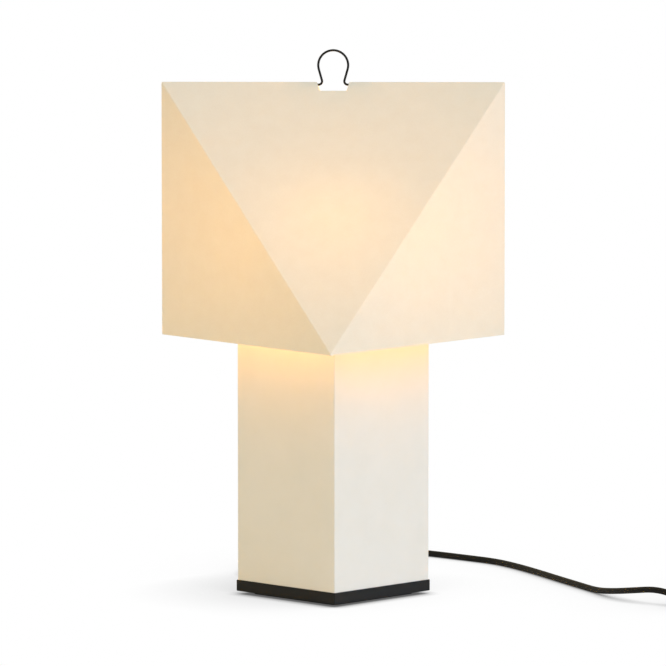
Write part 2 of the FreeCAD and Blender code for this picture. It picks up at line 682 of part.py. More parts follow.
def makeSwitch():
    across = "switchWide - 2 * switchWall"
    bores = [rod("SwitchBore", "cordHole", "switchLong", "-switchLong / 2", 0, "switchHalf", alongX)]
    room = block("BaseRoom", "2 * cavityHalf", across, "switchTall", 0, 0, "switchWall")
    hollow = cut("BaseHollow", shell("SwitchBase", "switchHalf"), room)
    solids, holes, bosses, caps, screws = [hollow], [*bores], [], [], []
    height = "pivotRise + pivotThick - switchWall / 2"
    for i, sign in enumerate((1, -1)):
        y = f"{sign} * (pinOut - postThick / 2)"
        solids.append(block(f"Post{i}", "2 * pivotThick", "postThick", height, 0, y, "switchWall / 2"))
        x, y = f"{sign} * bossX", f"-{sign} * bossY"
        rise = "switchHalf - switchWall / 2"
        solids.append(rod(f"BaseBoss{i}", "bossWide / 2", rise, x, y, "switchWall / 2"))
        bosses.append(rod(f"CoverBoss{i}", "bossWide / 2", rise, x, y, "switchHalf"))
        holes.append(rod(f"ScrewWay{i}", "1 + slack", "switchHalf", x, y))
        holes.append(rod(f"HeadWay{i}", "2.2 + slack", "2", x, y))
        caps.append(rod(f"CapWay{i}", "1 + slack", "switchHalf - 3", x, y, "switchHalf"))
        head, stem = rod(f"SwitchHead{i}", 2.2, 1.8, x, y, 0.2), rod(f"SwitchStem{i}", 1, 14, x, y, 1)
        screws.append(fuse(f"SwitchScrew{i}", head, stem))
    length = "2 * pinOut + 2"
    holes.append(rod("PinWay", "pivotThick / 2 + slack", length, 0, "-pinOut - 1", "pivotRise", alongY))
    switchPiece("switch_base", cut("LowerHalf", fuse("LowerSolids", *solids), *holes))
    switchPiece("switch_screws", group("SwitchScrews", *screws))

    lid = put(shell("SwitchCover", "switchHalf"), z="switchHalf")
    tall = "switchHalf - switchWall"
    room = block("CoverRoom", "2 * cavityHalf", across, tall, 0, 0, "switchHalf")
    wide, deep = "rockerLong + 2 * rockerGap", "rockerWide + 2 * fit"
    window = block("Window", wide, deep, "switchTall", 0, 0, "switchHalf")
    lid = fuse("LidSolids", cut("LidHollow", lid, room, window), *bosses)
    bore = rod("CoverBore", "cordHole", "switchLong", "-switchLong / 2", 0, "switchHalf", alongX)
    switchPiece("switch_cover", cut("UpperHalf", lid, bore, *caps))

    half, top = "rockerLong / 2", "switchTall - pivotRise - 0.5"
    profile = [
        (f"-{half} + 3", "-2.5"),
        (f"{half} - 3", "-2.5"),
        (half, "0.5"),
        (half, top),
        ("0", f"{top} - 2.3"),
        (f"-{half}", top),
        (f"-{half}", "0.5"),
    ]
    body = newBody("RockerBlock")
    pad(body, "RockerPad", profile, "rockerWide", "XZ_Plane", both=True)
    pin = rod("RockerPin", "pivotThick / 2", "2 * pinOut", 0, "-pinOut", 0, alongY)
    turn = FreeCAD.Rotation(zAxis, number("switchTurn")) * FreeCAD.Rotation(yAxis, number("rockerTilt"))
    rocker = piece("switch_rocker", fuse("Rocker", body, pin))
    put(rocker, "switchX", "switchY", "pivotRise", turn)

    strips, cores = [], []
    for i, sign in enumerate((1, -1)):
        clamp = block(f"Clamp{i}", 5, 8, "switchHalf", f"{sign} * (cavityHalf - 5.5)", 0, "switchWall")
        strip = block(f"Strip{i}", 14, 4, 0.8, f"{sign} * (cavityHalf - 12)", 0, "switchWall")
        tab = block(f"Tab{i}", 0.8, 4, 7, f"{sign} * (cavityHalf - 18.6)", 0, "switchWall")
        strips.append(fuse(f"Terminal{i}", clamp, strip, tab))
        for j, y in enumerate((-1.5, 1.5)):
            x = "cavityHalf - 3" if sign > 0 else "-cavityHalf"
            cores.append(rod(f"SwitchCore{i}{j}", 0.9, 3, x, y, "switchHalf", alongX))
    switchPiece("switch_terminals", group("Terminals", *strips))
    switchPiece("switch_cores", group("SwitchCores", *cores))


# Plug: it lies flat on the table, and its pins point along +Y.


def plugPiece(label, thing):
    return put(piece(label, thing), "coilX + coilRadius", "coilY + plugAway", "plugThick / 2")


def makePlug():
    side, throat = "plugWide / 2", "plugThick / 2 - 0.4"
    face = [
        (f"-{side}", "0"),
        (side, "0"),
        (side, "-plugLong / 2"),
        (throat, "-plugLong"),
        (f"-({throat})", "-plugLong"),
        (f"-{side}", "-plugLong / 2"),
    ]
    body = newBody("PlugBlock")
    feature = pad(body, "PlugPad", face, "plugThick", both=True)
    dress(body, "Fillet", "PlugEdges", feature, lambda box: box.ZLength < 1, Radius=2.5)
    sleeve = cone("PlugSleeve", "cordHole + 0.9", 6, "sleeveLong + 1", 0, "-plugEnd", 0, alongY)
    bore = rod("PlugBore", "cordHole", "plugGrip", 0, "-plugEnd", 0, alongY)
    roots, pins = [], []
    for i, x in enumerate(("pinApart / 2", "-pinApart / 2")):
        radius, long = "pinThick / 2", "pinRoot + pinLong - 1"
        roots.append(rod(f"PinRoot{i}", radius, "pinRoot", x, "-pinRoot", 0, alongY))
        stem = rod(f"PinStem{i}", radius, long, x, "-pinRoot", 0, alongY)
        tip = cone(f"PinTip{i}", radius, f"{radius} - 0.8", 1, x, "pinLong - 1", 0, alongY)
        pins.append(fuse(f"Pin{i}", stem, tip))
    plugPiece("plug_body", cut("PlugBody", fuse("PlugSolid", body, sleeve), bore, *roots))
    plugPiece("plug_pins", group("PlugPins", *pins))


# Cord: from the gland round the back to the switch, on to the coil, and to the plug.


def leastGap(points, thick, apart):
    """Least gap between stretches of a path that are more than apart from each other."""
    steps = [(b - a).Length for a, b in zip(points, points[1:])]
    skip = int(apart / max(steps)) + 1
    gaps = [
        (a - b).Length
        for i, a in enumerate(points)
        for b in points[i + skip :]
    ]
    return min(gaps) - thick


def makeCords():
    rise, floor = number("glandRise"), number("cordThick / 2")
    start, mid = number("(columnSide - wall) / 2 * sin(45)"), number("switchHalf")
    turn = math.radians(number("switchTurn"))
    along = Vector(math.cos(turn), math.sin(turn), 0)
    switch = Vector(number("switchX"), number("switchY"), mid)
    enters = switch - along * number("cavityHalf")
    leaves = switch + along * number("cavityHalf")
    route = [
        Vector(-start, start, rise),
        Vector(-73.5, 73.5, rise),
        Vector(-85.5, 106, 20.5),
        Vector(-87, 139, 8),
        Vector(-82, 171, floor),
        Vector(-70, 204, floor),
        Vector(-48, 232, floor),
        Vector(-17, 255, floor),
        Vector(15, 272, floor),
        Vector(45, 283, floor),
        Vector(73, 285, floor),
        Vector(98, 276.5, floor),
        Vector(119, 258.5, floor),
        Vector(146, 233.5, floor),
        Vector(172, 208.5, floor),
        Vector(192, 172.5, floor),
        Vector(212, 127, floor),
        Vector(231.5, 78, floor),
        Vector(252, 28.5, floor),
        Vector(265, -3, floor),
        Vector(279, -38, 7.4),
        Vector(297, -63, 11.8),
        enters - along * 36 + Vector(0, 0, 4.2),
        enters - along * 14,
        enters,
    ]
    piece("cord_run", cord("CordRun", route))

    edge, y, low = number("coilX + coilRadius"), number("coilY"), number("coilLow")
    thick = number("cordThick")
    link = [
        leaves,
        leaves + along * 26 - Vector(0, 0, 0.3),
        Vector(442, -128.5, 9),
        Vector(edge, -105, 6.5),
        Vector(edge, -65, low),
        Vector(edge, y - thick, low),
    ]
    piece("cord_link", cord("CordLink", link))

    # The coil spirals in on the table, climbs by a turn and spirals out on top.
    step, side = number("turnStep"), 1
    at = Vector(edge, y, low)
    edges = [Part.LineSegment(at - Vector(0, thick, 0), at).toShape()]
    for count in (0, 1, 2, 3, 4, 3, 2, 1):
        radius = number("coilRadius") - count * step / 2
        climb = step if count == 4 else 0
        to = at + Vector(-2 * side * radius, 0, climb)
        middle = (at + to) * 0.5 + Vector(0, side * (to - at).Length / 2, 0)
        edges.append(Part.Arc(at, middle, to).toShape())
        at, side = to, -side
    edges.append(Part.LineSegment(at, at + Vector(0, thick, 0)).toShape())
    points = [spot for part in edges for spot in part.discretize(Distance=1.5)]
    gap = leastGap(points, thick, 12 * thick)
    print(f"coil: least gap to itself {gap:.2f} mm")
    piece("cord_coil", tube("CordCoil", edges, thick / 2))

    flat, end = number("plugThick / 2"), number("coilY + plugAway - plugEnd + plugGrip")
    tail = [
        at + Vector(0, thick, 0),
        Vector(edge, y + 26, at.z),
        Vector(edge, end - 26, flat),
        Vector(edge, end, flat),
    ]
    piece("cord_tail", cord("CordTail", tail))


def makeTie():
    outer = "coilRadius - turnStep / 2 + cordThick / 2 + slack"
    inner = "coilRadius - 3 * turnStep / 2 - cordThick / 2 - 1"
    tall = "turnStep + cordThick + 2 * slack"
    bars = []
    for name, more, wide in (("TieOut", "tieThick", "tieWide"), ("TieIn", "0", "tieWide + 2")):
        body = newBody(name)
        deep = f"{outer} - ({inner}) + 2 * {more}"
        face = rectangle(deep, f"{tall} + 2 * {more}")
        feature = pad(body, f"{name}Pad", face, wide, "YZ_Plane", both=True)
        dress(body, "Fillet", f"{name}Round", feature, isAlongX, Radius=f"cordThick / 2 - slack + {more}")
        bars.append(body)
    away = f"coilY - ({outer} + {inner}) / 2"
    put(piece("coil_tie", cut("CoilTie", *bars)), "coilX", away, "coilLow + turnStep / 2")


makeBase()
makeColumn()
makeLampholder()
makeBulb()
makeHarp()
makeShade()
makeGland()
makeSwitch()
makePlug()
makeCords()
makeTie()
doc.recompute()

for thing in doc.Objects:
    if {"Invalid", "Error"} & set(thing.State):
        raise RuntimeError(f"{thing.Name} did not compute: {thing.State}")

os.makedirs("parts", exist_ok=True)
for thing in pieces:
    if thing.Shape.isNull() or not thing.Shape.isValid():
        raise RuntimeError(f"{thing.Label} has no valid shape")
    thing.Shape.exportStep(f"parts/{thing.Label}.step")
print(len(pieces), "pieces")
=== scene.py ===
import math

import bmesh
import bpy
from mathutils import Matrix, Vector, noise


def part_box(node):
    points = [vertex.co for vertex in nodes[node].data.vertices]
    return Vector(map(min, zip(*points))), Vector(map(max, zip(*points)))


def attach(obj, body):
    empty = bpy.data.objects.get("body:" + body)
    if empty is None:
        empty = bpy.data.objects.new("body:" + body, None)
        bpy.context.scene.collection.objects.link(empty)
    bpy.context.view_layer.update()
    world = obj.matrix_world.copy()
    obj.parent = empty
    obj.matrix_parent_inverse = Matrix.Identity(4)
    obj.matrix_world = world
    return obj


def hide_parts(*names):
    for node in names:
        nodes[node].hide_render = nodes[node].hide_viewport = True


# Table lamp: a folded paper shade hung on a wire harp, over a square column on a
# black plate. The CAD nodes are the frame, and what they lack is made here.

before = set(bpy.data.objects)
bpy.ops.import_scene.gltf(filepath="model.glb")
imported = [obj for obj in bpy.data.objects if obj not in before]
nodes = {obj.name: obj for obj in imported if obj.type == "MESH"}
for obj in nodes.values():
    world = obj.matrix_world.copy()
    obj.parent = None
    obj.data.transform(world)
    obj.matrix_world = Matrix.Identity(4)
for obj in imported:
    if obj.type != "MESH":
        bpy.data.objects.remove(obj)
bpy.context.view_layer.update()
mm = 0.001


# Colours and nodes


def linear(hexColour):
    # sRGB hex to the linear colour that a socket takes
    parts = [int(hexColour[i : i + 2], 16) / 255 for i in (1, 3, 5)]
    return [c / 12.92 if c <= 0.04045 else ((c + 0.055) / 1.055) ** 2.4 for c in parts] + [1]


def add(tree, kind, sockets=None, **settings):
    # one node with its settings; a socket takes a value or another node's output
    made = tree.nodes.new("ShaderNode" + kind)
    for name, value in settings.items():
        setattr(made, name, value)
    for name, value in (sockets or {}).items():
        if isinstance(value, bpy.types.NodeSocket):
            tree.links.new(value, made.inputs[name])
        else:
            made.inputs[name].default_value = value
    return made


def newMaterial(name):
    made = bpy.data.materials.new(name)
    made.use_nodes = True
    made.node_tree.nodes.clear()
    return made, made.node_tree


def finishWith(tree, shader):
    add(tree, "OutputMaterial", {"Surface": shader})


def spread(tree, size, detail=3, stretch=(1, 1, 1), roughness=0.55):
    # noise whose grains measure about size, in metres, on the piece itself
    where = add(tree, "TexCoord").outputs["Object"]
    placed = add(tree, "Mapping", {"Vector": where, "Scale": [s / size for s in stretch]})
    settings = {"Vector": placed.outputs[0], "Scale": 1, "Detail": detail, "Roughness": roughness}
    return add(tree, "TexNoise", settings).outputs["Fac"]


def shades(tree, value, low, high):
    # two close colours spread by a value from 0 to 1
    ramp = add(tree, "ValToRGB", {"Fac": value})
    ramp.color_ramp.elements[0].position = 0.3
    ramp.color_ramp.elements[1].position = 0.7
    ramp.color_ramp.elements[0].color = linear(low)
    ramp.color_ramp.elements[1].color = linear(high)
    return ramp.outputs["Color"]


def between(tree, value, low, high):
    made = add(tree, "MapRange", {"Value": value, "To Min": low, "To Max": high})
    return made.outputs[0]


def raised(tree, height, depth, strength=1.0):
    sockets = {"Height": height, "Distance": depth, "Strength": strength}
    return add(tree, "Bump", sockets).outputs[0]


# Materials


def makePaper():
    # lampshade paper: pulp fibres and a faint cloudy look when lit from behind
    look = {
        "fibre": 1.4 * mm,
        "cloud": 16 * mm,
        "relief": 0.03 * mm,
        "through": 0.06,
        "bent": -0.7,
    }
    made, tree = newMaterial("lampshadePaperFolded")
    fibre = spread(tree, look["fibre"], 5, (1, 0.35, 1), 0.7)
    cloud = spread(tree, look["cloud"], 3)
    mixed = add(tree, "Math", {0: fibre, 1: cloud}, operation="ADD").outputs[0]
    half = add(tree, "Math", {0: mixed, 1: 0.5}, operation="MULTIPLY").outputs[0]
    bump = raised(tree, fibre, look["relief"], 0.6)
    front = add(
        tree,
        "BsdfPrincipled",
        {
            "Base Color": shades(tree, half, "#f1e7d5", "#f5eddd"),
            "Roughness": 0.72,
            "IOR": 1.5,
            "Specular IOR Level": 0.3,
            "Normal": bump,
        },
    )
    # light that comes through keeps some of its way up, so a leaning facet glows low down
    through = shades(tree, half, "#fbe291", "#ffe999")
    facing = add(tree, "NewGeometry").outputs["Normal"]
    bent = add(tree, "VectorMath", {0: facing, 1: (1, 1, look["bent"])}, operation="MULTIPLY")
    back = add(tree, "BsdfTranslucent", {"Color": through, "Normal": bent.outputs[0]})
    both = add(tree, "MixShader", {"Fac": look["through"], 1: front.outputs[0], 2: back.outputs[0]})
    finishWith(tree, both.outputs[0])
    return made


def makeCoat(name, low, high, roughness, grain, depth, gloss=0.5):
    # powder coat: a slight orange peel, and a roughness that varies a little
    vary = 0.04
    made, tree = newMaterial(name)
    peel = spread(tree, grain, 2)
    wide = spread(tree, 40 * mm, 4)
    sockets = {
        "Base Color": shades(tree, wide, low, high),
        "Roughness": between(tree, wide, roughness - vary, roughness + vary),
        "IOR": 1.5,
        "Specular IOR Level": gloss,
        "Normal": raised(tree, peel, depth),
    }
    finishWith(tree, add(tree, "BsdfPrincipled", sockets).outputs[0])
    return made


def makeMoulded(name, low, high, roughness, grain, depth, gloss=0.5):
    # moulded plastic or rubber: a fine even texture from the mould
    vary = 0.06
    made, tree = newMaterial(name)
    fine = spread(tree, grain, 2)
    cloud = spread(tree, 12 * mm, 3)
    sockets = {
        "Base Color": shades(tree, cloud, low, high),
        "Roughness": between(tree, fine, roughness - vary, roughness + vary),
        "IOR": 1.5,
        "Specular IOR Level": gloss,
        "Normal": raised(tree, fine, depth),
    }
    finishWith(tree, add(tree, "BsdfPrincipled", sockets).outputs[0])
    return made


def makeMetal(name, low, high, roughness, grain, stretch=(1, 1, 1)):
    # bare or plated metal: a soft grain from drawing, rolling or turning
    vary = 0.08
    made, tree = newMaterial(name)
    streak = spread(tree, grain, 3, stretch)
    tarnish = spread(tree, 9 * mm, 4)
    sockets = {
        "Base Color": shades(tree, tarnish, low, high),
        "Metallic": 1,
        "Roughness": between(tree, streak, roughness - vary, roughness + vary),
        "Normal": raised(tree, streak, 0.01 * mm, 0.5),
    }
    finishWith(tree, add(tree, "BsdfPrincipled", sockets).outputs[0])
    return made


def makeGlobeGlass():
    # opal globe, lit: a faint clouding of its white; the bulb's light is a lamp of its own
    made, tree = newMaterial("opalGlobeLit")
    cloud = spread(tree, 14 * mm, 3)
    sockets = {
        "Base Color": shades(tree, cloud, "#fdf6ea", "#fffaf2"),
        "Roughness": 0.28,
        "IOR": 1.5,
        "Emission Color": linear("#ffd98f"),
        "Emission Strength": 0.42,
        "Normal": raised(tree, cloud, 0.02 * mm, 0.3),
    }
    finishWith(tree, add(tree, "BsdfPrincipled", sockets).outputs[0])
    return made


def makeWoven(name, low, high, thread):
    # woven strap: two sets of threads crossing at right angles
    made, tree = newMaterial(name)
    where = add(tree, "TexCoord").outputs["Object"]
    sets = []
    for direction in ("X", "Z"):
        wave = {"Vector": where, "Scale": 0.32 / thread, "Distortion": 0.6}
        sets.append(add(tree, "TexWave", wave, bands_direction=direction).outputs["Fac"])
    woven = add(tree, "Math", {0: sets[0], 1: sets[1]}, operation="MULTIPLY").outputs[0]
    sockets = {
        "Base Color": shades(tree, woven, low, high),
        "Roughness": 0.85,
        "IOR": 1.5,
        "Sheen Weight": 0.3,
        "Normal": raised(tree, woven, 0.25 * mm),
    }
    finishWith(tree, add(tree, "BsdfPrincipled", sockets).outputs[0])
    return made


paper = makePaper()
creamCoat = makeCoat("creamPowderCoat", "#eee9df", "#f1ece3", 0.42, 1.3 * mm, 0.012 * mm)
blackCoat = makeCoat("blackPowderCoat", "#0b0b0c", "#101011", 0.58, 0.7 * mm, 0.02 * mm, 0.33)
padRubber = makeMoulded("blackRubberFoam", "#161615", "#1d1c1b", 0.86, 0.5 * mm, 0.06 * mm)
cordPvc = makeMoulded("blackPvcExtruded", "#0b0c0e", "#101113", 0.55, 0.6 * mm, 0.012 * mm, 0.2)
blackNylon = makeMoulded("blackNylonMoulded", "#191918", "#201f1e", 0.52, 0.35 * mm, 0.02 * mm)
whiteNylon = makeMoulded("whiteNylonMoulded", "#e6e2d9", "#ece8e0", 0.38, 0.5 * mm, 0.008 * mm)
steatite = makeMoulded("steatitePressed", "#dcd6c9", "#e6e1d6", 0.62, 0.4 * mm, 0.02 * mm)
boardResin = makeMoulded("whiteBoardResin", "#dfe3e2", "#e9ecea", 0.35, 0.8 * mm, 0.01 * mm)
sealGlass = makeMoulded("blackSealGlass", "#0f0f12", "#16161a", 0.16, 2 * mm, 0.01 * mm)
wireCoat = makeCoat("blackCoatOnDrawnWire", "#0a0a0b", "#0f0f10", 0.5, 0.9 * mm, 0.01 * mm, 0.25)
zincSteel = makeMetal("zincSteelPassivated", "#a9aaa6", "#bcbcb6", 0.38, 1.1 * mm)
turnedBrass = makeMetal("brassTurned", "#c19a55", "#cfac6a", 0.3, 0.5 * mm, (0.2, 0.2, 1))
capNickel = makeMetal("nickelCapRolled", "#b8b6ae", "#c9c7c0", 0.26, 0.7 * mm, (0.2, 0.2, 1))
bareCopper = makeMetal("copperDrawn", "#b8734e", "#c98660", 0.34, 0.4 * mm)
opalGlobe = makeGlobeGlass()
strapCloth = makeWoven("hookAndLoopStrap", "#121212", "#2a2a29", 0.7 * mm)
print("materials made")


# Pieces that the frame gives: each gets its material, and softened edges where the
# real piece has them


def dress(material, *names, soft=0):
    for name in names:
        node = nodes[name]
        node.data.materials.clear()
        node.data.materials.append(material)
        if soft:
            edge = node.modifiers.new("softEdge", "BEVEL")
            edge.width = soft
            edge.segments = 3
            edge.limit_method = "ANGLE"
            edge.angle_limit = math.radians(40)
            edge.harden_normals = True


dress(padRubber, "foot_pad")
dress(blackCoat, "base_plate", soft=0.4 * mm)
dress(zincSteel, "base_screws", "base_nuts", "cap_screws", "lock_washer", "switch_screws")
dress(creamCoat, "column_shell", "top_cap")
dress(turnedBrass, "threaded_tube", "tube_nut", "holder_thread", "holder_contact")
dress(turnedBrass, "switch_terminals")
dress(whiteNylon, "holder_dome", "holder_skirt", "bulb_housing")
dress(steatite, "holder_insert")
dress(cordPvc, "inner_lead")
dress(bareCopper, "lead_cores", "switch_cores")
dress(zincSteel, "bulb_contact")
dress(sealGlass, "bulb_insulator")
dress(capNickel, "bulb_screw_base")
dress(boardResin, "led_board")
dress(opalGlobe, "bulb_globe")
dress(wireCoat, "harp_saddle", "harp_ferrules", "harp_wire")
coatOnWire = nodes["harp_wire"].modifiers.new("coatThickness", "DISPLACE")
coatOnWire.strength = 0.13 * mm
coatOnWire.mid_level = 0
dress(blackNylon, "gland_nut", "switch_base", "switch_cover", "switch_rocker")
print("frame dressed")


# Mesh helpers


def newPiece(name, mesh, material, body, *stands):
    made = bpy.data.objects.new(name, mesh)
    bpy.context.scene.collection.objects.link(made)
    mesh.materials.append(material)
    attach(made, body)
    if stands:
        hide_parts(*stands)
    return made


def fromRings(name, rings, capped=True):
    # a skin over rings that all have as many points
    shape = bmesh.new()
    rows = [[shape.verts.new(point) for point in ring] for ring in rings]
    count = len(rows[0])
    for low, high in zip(rows, rows[1:]):
        for i in range(count):
            j = (i + 1) % count
            shape.faces.new((low[i], low[j], high[j], high[i]))
    if capped:
        shape.faces.new(rows[0][::-1])
        shape.faces.new(rows[-1])
    bmesh.ops.recalc_face_normals(shape, faces=shape.faces)
    mesh = bpy.data.meshes.new(name)
    shape.to_mesh(mesh)
    shape.free()
    mesh.shade_smooth()
    mesh.set_sharp_from_angle(angle=math.radians(35))
    return mesh


def turned(name, profile, place, steps):
    # a turned piece: profile holds (radius, height) all round its section
    turns = [2 * math.pi * i / steps for i in range(steps)]
    rings = []
    for radius, height in profile:
        ring = [(radius * math.cos(a), radius * math.sin(a), height) for a in turns]
        rings.append([place @ Vector(spot) for spot in ring])
    return fromRings(name, rings, capped=False)


# Shade: one sheet of paper, folded along the ridge and beside each wide facet


def makeFlaps(half, tall, place):
    # the glued flap of each side seam lies inside the back wall
    flap = {
        "wide": 10 * mm,
        "taper": 0.3,
        "foot": 2 * mm,
        "endsBelow": 2.5,
        "inset": 0.35 * mm,
        "fromCorner": 0.2 * mm,
        "steps": 24,
    }
    top = tall - flap["endsBelow"] * flap["wide"]
    shape = bmesh.new()
    for side in (1, -1):
        corner = Vector((side * (half - flap["inset"] * math.sqrt(2)), 0, 0))
        along = Vector((-side, 1, 0)).normalized()
        rows = []
        for i in range(flap["steps"] + 1):
            height = flap["foot"] + (top - flap["foot"]) * i / flap["steps"]
            wide = flap["wide"] * (1 - flap["taper"] * i / flap["steps"])
            row = []
            for reach in (flap["fromCorner"], wide / 2, wide):
                spot = corner + along * reach + Vector((0, 0, height))
                row.append(shape.verts.new(place @ spot))
            rows.append(row)
        for one, two in zip(rows, rows[1:]):
            for i in range(2):
                shape.faces.new((one[i], one[i + 1], two[i + 1], two[i]))
    mesh = bpy.data.meshes.new("shadeFlaps")
    shape.to_mesh(mesh)
    shape.free()
    return newPiece("shadeFlaps", mesh, paper, "shade")


def makeShade():
    shade = {
        "turn": math.radians(-1.6),
        "thick": 0.4 * mm,
        "foldRound": 0.9 * mm,
        "foldSteps": 3,
        "ridgeUp": 0.6,
        "frontLow": 1.7 * mm,
        "wave": 0.22 * mm,
        "waveLong": 70 * mm,
        "waveEase": 25 * mm,
        "longestEdge": 9 * mm,
        "cuts": 5,
        "leastFold": 0.2,
        "notchTop": 16.4 * mm,
        "notchFoot": 13.4 * mm,
        "notchDeep": 8.8 * mm,
        "backDeeper": 1.4 * mm,
    }
    low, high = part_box("paper_shade")
    tall = high[2] - low[2]
    half = high[0] / math.cos(shade["turn"])
    slope = math.hypot(half, tall) / half
    half -= shade["thick"] / 2 * math.sqrt(2)
    # The ridge is set a little high, since rounding it lowers it again.
    top = tall - shade["thick"] / 2 * slope + shade["foldRound"] * shade["ridgeUp"]

    shape = bmesh.new()
    spots = {
        "front": (0, -half, 0),
        "back": (0, half, 0),
        "left": (-half, 0, 0),
        "right": (half, 0, 0),
        "topLeft": (-half, 0, top),
        "topRight": (half, 0, top),
    }
    made = {name: shape.verts.new(spot) for name, spot in spots.items()}
    for names in (
        ("topLeft", "front", "topRight"),
        ("topLeft", "left", "front"),
        ("topRight", "front", "right"),
        ("topRight", "back", "topLeft"),
        ("topLeft", "back", "left"),
        ("topRight", "right", "back"),
    ):
        shape.faces.new([made[name] for name in names])
    folds = [edge for edge in shape.edges if len(edge.link_faces) == 2]
    bmesh.ops.bevel(
        shape,
        geom=folds,
        offset=shade["foldRound"],
        segments=shade["foldSteps"],
        profile=0.5,
        affect="EDGES",
    )

    # The notch is marked on both slopes and its paper taken out.
    foot = top - shade["notchDeep"]
    lean = shade["notchTop"] - shade["notchFoot"]
    for side in (1, -1):
        across = Vector((shade["notchDeep"], 0, -side * lean))
        everything = shape.verts[:] + shape.edges[:] + shape.faces[:]
        bmesh.ops.bisect_plane(
            shape, geom=everything, plane_co=(side * shade["notchFoot"], 0, foot), plane_no=across
        )
    backFoot = foot - shade["backDeeper"]
    for height in (foot, backFoot):
        everything = shape.verts[:] + shape.edges[:] + shape.faces[:]
        bmesh.ops.bisect_plane(shape, geom=everything, plane_co=(0, 0, height), plane_no=(0, 0, 1))

    def inNotch(face):
        spot = face.calc_center_median()
        return spot.z > (foot if spot.y < 0 else backFoot) and abs(spot.x) < shade["notchFoot"]

    gone = [face for face in shape.faces if inNotch(face)]
    bmesh.ops.delete(shape, geom=gone, context="FACES")
    bmesh.ops.triangulate(shape, faces=shape.faces)

    # The folds and rims stay straight: these lines hold the waves off them.
    inner = [edge for edge in shape.edges if len(edge.link_faces) == 2]
    creases = [edge for edge in inner if edge.calc_face_angle() > shade["leastFold"]]
    rims = [edge for edge in shape.edges if len(edge.link_faces) == 1]
    lines = [[vert.co.copy() for vert in edge.verts] for edge in creases + rims]
    for cut in range(shade["cuts"]):
        long = [edge for edge in shape.edges if edge.calc_length() > shade["longestEdge"]]
        bmesh.ops.subdivide_edges(shape, edges=long, cuts=1, use_grid_fill=True)
        bmesh.ops.triangulate(shape, faces=shape.faces)

    def fromLine(spot, start, end):
        along = end - start
        share = max(0.0, min(1.0, (spot - start).dot(along) / along.length_squared))
        return (spot - start - along * share).length

    def hangs(spot):
        return shade["frontLow"] * max(0, -spot.y / half)

    # The front corner hangs a little low, and the facets wave between their folds.
    for vert in shape.verts:
        vert.co.z -= hangs(vert.co)
    lines = [[spot - Vector((0, 0, hangs(spot))) for spot in line] for line in lines]
    shape.normal_update()
    moves = {}
    for vert in shape.verts:
        away = min(fromLine(vert.co, start, end) for start, end in lines)
        ease = min(1.0, away / shade["waveEase"])
        push = noise.noise(vert.co / shade["waveLong"]) * shade["wave"] * ease * ease
        moves[vert] = vert.normal * push
    for vert, move in moves.items():
        vert.co += move

    mesh = bpy.data.meshes.new("shadePaper")
    shape.to_mesh(mesh)
    shape.free()
    place = Matrix.Translation((0, 0, low[2])) @ Matrix.Rotation(shade["turn"], 4, "Z")
    mesh.transform(place)
    mesh.shade_smooth()
    mesh.set_sharp_from_angle(angle=math.radians(40))
    made = newPiece("shadePaper", mesh, paper, "shade", "paper_shade")
    flat = made.modifiers.new("flatFacets", "WEIGHTED_NORMAL")
    flat.keep_sharp = True

    flaps = makeFlaps(half, tall, place)


makeShade()
print("shade made")


# Cords: the route's points repeat those of the frame's solids, in metres


cordThick = 6.2


def layCord(name, points, *stands):
    curve = bpy.data.curves.new(name, "CURVE")
    curve.dimensions = "3D"
    curve.bevel_depth = cordThick / 2 * mm
    curve.bevel_resolution = 6
    curve.resolution_u = 10
    curve.use_fill_caps = True
    spline = curve.splines.new("NURBS")
    spline.points.add(len(points) - 1)
    for spot, point in zip(points, spline.points):
        point.co = (*spot, 1)
    spline.order_u = 3
    spline.use_endpoint_u = True
    made = bpy.data.objects.new(name, curve)
    bpy.context.scene.collection.objects.link(made)
    curve.materials.append(cordPvc)
    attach(made, "lamp")
    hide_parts(*stands)
    return made


switch = {"x": 370.5, "y": -108, "z": 11, "turn": math.radians(-30), "inside": 24}
coil = {"x": 420, "y": -20, "low": 4.4, "radius": 40, "step": 6.8, "perHalf": 8}
plug = {"x": 460, "face": 98, "z": 6.85, "long": 52, "grip": 12}

along = Vector((math.cos(switch["turn"]), math.sin(switch["turn"]), 0))
middle = Vector((switch["x"], switch["y"], switch["z"]))
enters = middle - along * switch["inside"]
leaves = middle + along * switch["inside"]
sag = Vector((0, 0, -0.3))

runRoute = [
    Vector((-47.41, 47.41, 32)),
    Vector((-73.5, 73.5, 32)),
    Vector((-85.5, 106, 20.5)),
    Vector((-87, 139, 8)),
    Vector((-82, 171, 3.1)),
    Vector((-70, 204, 3.1)),
    Vector((-48, 232, 3.1)),
    Vector((-17, 255, 3.1)),
    Vector((15, 272, 3.1)),
    Vector((45, 283, 3.1)),
    Vector((73, 285, 3.1)),
    Vector((98, 276.5, 3.1)),
    Vector((119, 258.5, 3.1)),
    Vector((146, 233.5, 3.1)),
    Vector((172, 208.5, 3.1)),
    Vector((192, 172.5, 3.1)),
    Vector((212, 127, 3.1)),
    Vector((231.5, 78, 3.1)),
    Vector((252, 28.5, 3.1)),
    Vector((265, -3, 3.1)),
    Vector((279, -38, 7.4)),
    Vector((297, -63, 11.8)),
    enters - along * 36 + Vector((0, 0, 4.2)),
    enters - along * 14,
    enters,
]

linkRoute = [
    leaves,
    leaves + along * 26 + sag,
    Vector((442, -128.5, 9)),
    Vector((460, -105, 6.5)),
    Vector((460, -65, 4.4)),
    Vector((460, -26.2, 4.4)),
]


